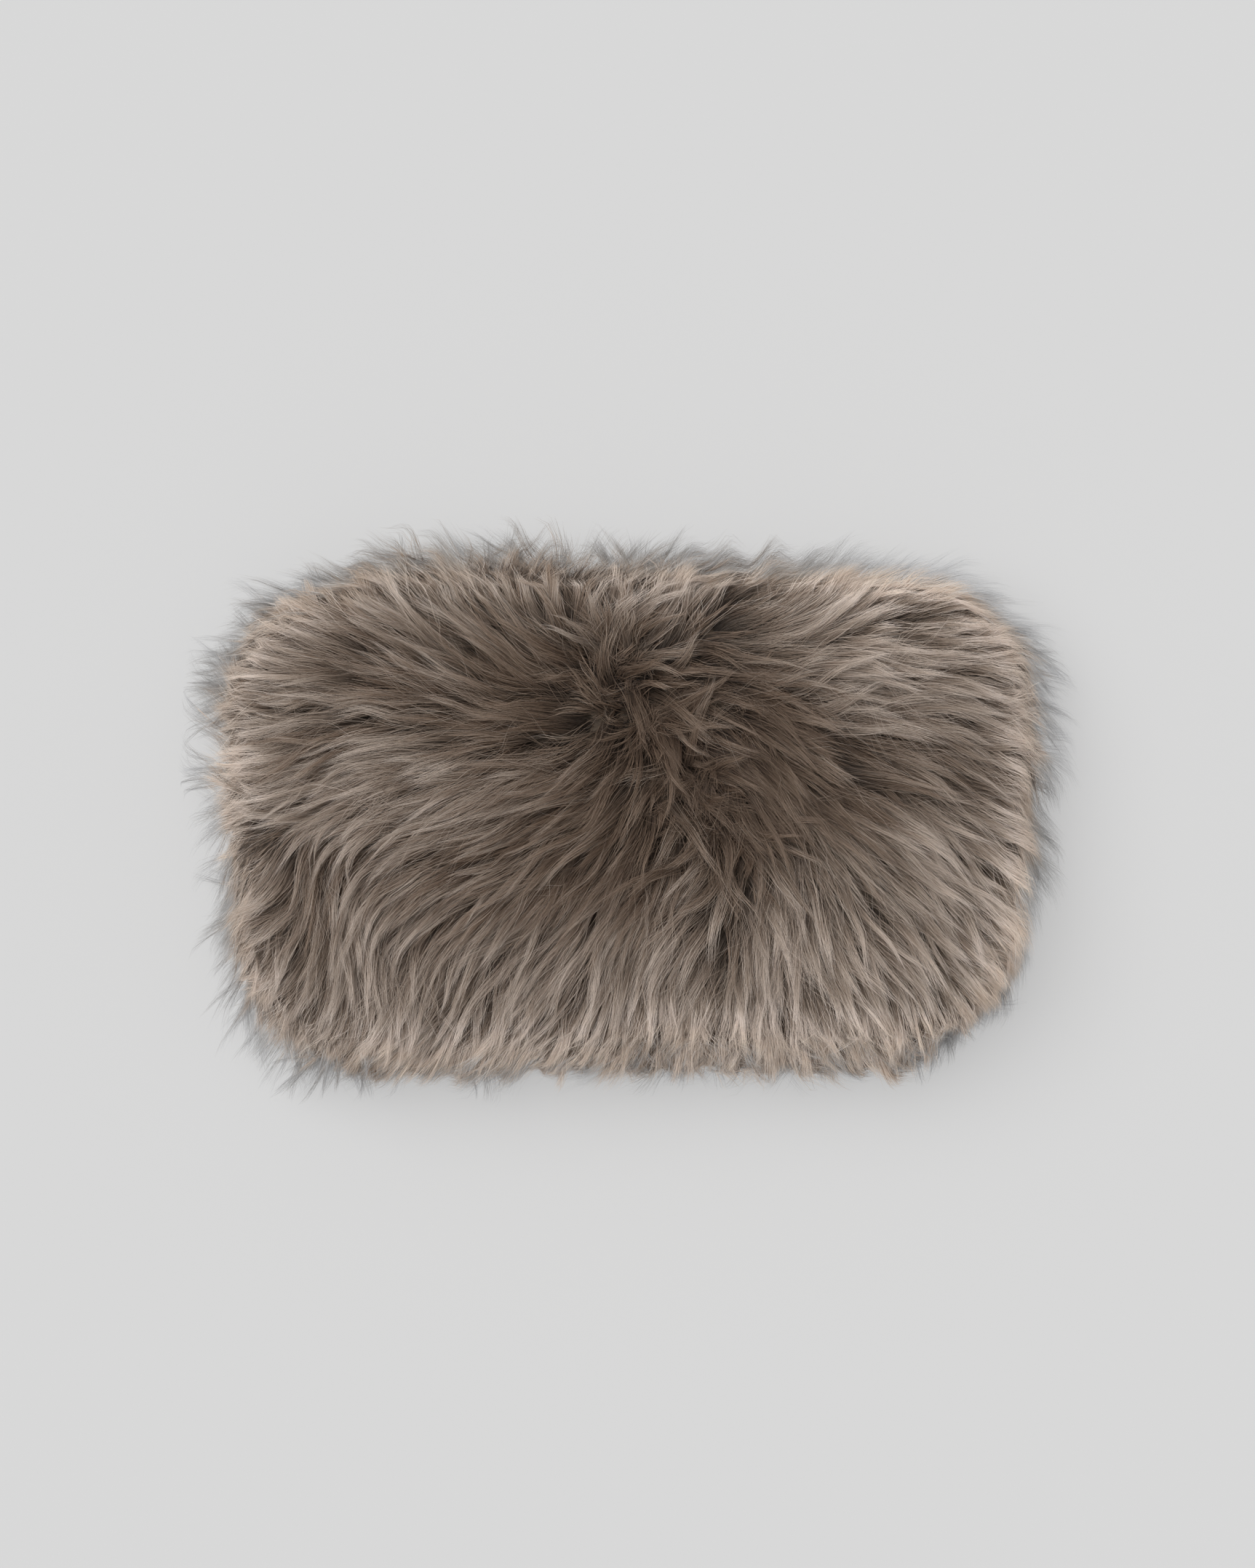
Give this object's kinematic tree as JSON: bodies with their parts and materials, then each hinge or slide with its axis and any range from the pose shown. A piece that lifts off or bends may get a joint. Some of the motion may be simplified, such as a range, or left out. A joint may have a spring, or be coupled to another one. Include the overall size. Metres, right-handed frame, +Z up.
{
  "type": "scatter cushion",
  "caption": "Rectangular cushion with a long combed wool face over a domed front, a woven back panel, a zip in one long seam and a soft inner pad.",
  "frame": {"origin": "centre of the underside, where the back panel lies on a flat surface", "axes": "+X along the long side, +Y across towards the seam without the zip, +Z up through the wool face"},
  "size_m": [0.538, 0.344, 0.148],
  "materials": {
    "wool": "natural long wool, warm grey-brown",
    "hide": "undyed tanned hide",
    "back_cloth": "plain woven wool blend",
    "thread": "spun polyester thread",
    "label": "blank woven satin",
    "zip_tape": "herringbone tape",
    "zip_metal": "dark nickel, satin",
    "cotton": "plain cotton",
    "filling": "feather and fibre filling"
  },
  "bodies": {
    "cover": {"wool_pile": "wool", "sheepskin_hide": "hide", "back_panel": "back_cloth", "side_seam_thread": "thread", "care_label": "label", "zip_tape_upper": "zip_tape", "zip_tape_lower": "zip_tape", "zip_teeth_upper": "zip_metal", "zip_teeth_lower": "zip_metal", "zip_bottom_stop": "zip_metal", "zip_top_stops": "zip_metal", "zip_topstitch_upper": "thread", "zip_topstitch_lower": "thread", "zip_bar_tacks": "thread", "inner_case_top": "cotton", "inner_case_bottom": "cotton", "inner_case_thread": "cotton", "filling": "filling"},
    "slider": {"zip_slider": "zip_metal"},
    "pull_tab": {"pull_tab": "zip_metal"}
  },
  "joints": [
    {"name": "slider_travel", "type": "slide", "parent": "cover", "child": "slider", "axis": [1, 0, 0], "range_m": [-0.291, 0], "deforming": ["zip_teeth_upper", "zip_teeth_lower"]},
    {"name": "pull_tab_swing", "type": "hinge", "parent": "slider", "child": "pull_tab", "pos_m": [0.14952, -0.13903, 0.044], "axis": [0, 0, 1], "range_deg": [0, 170]}
  ]
}
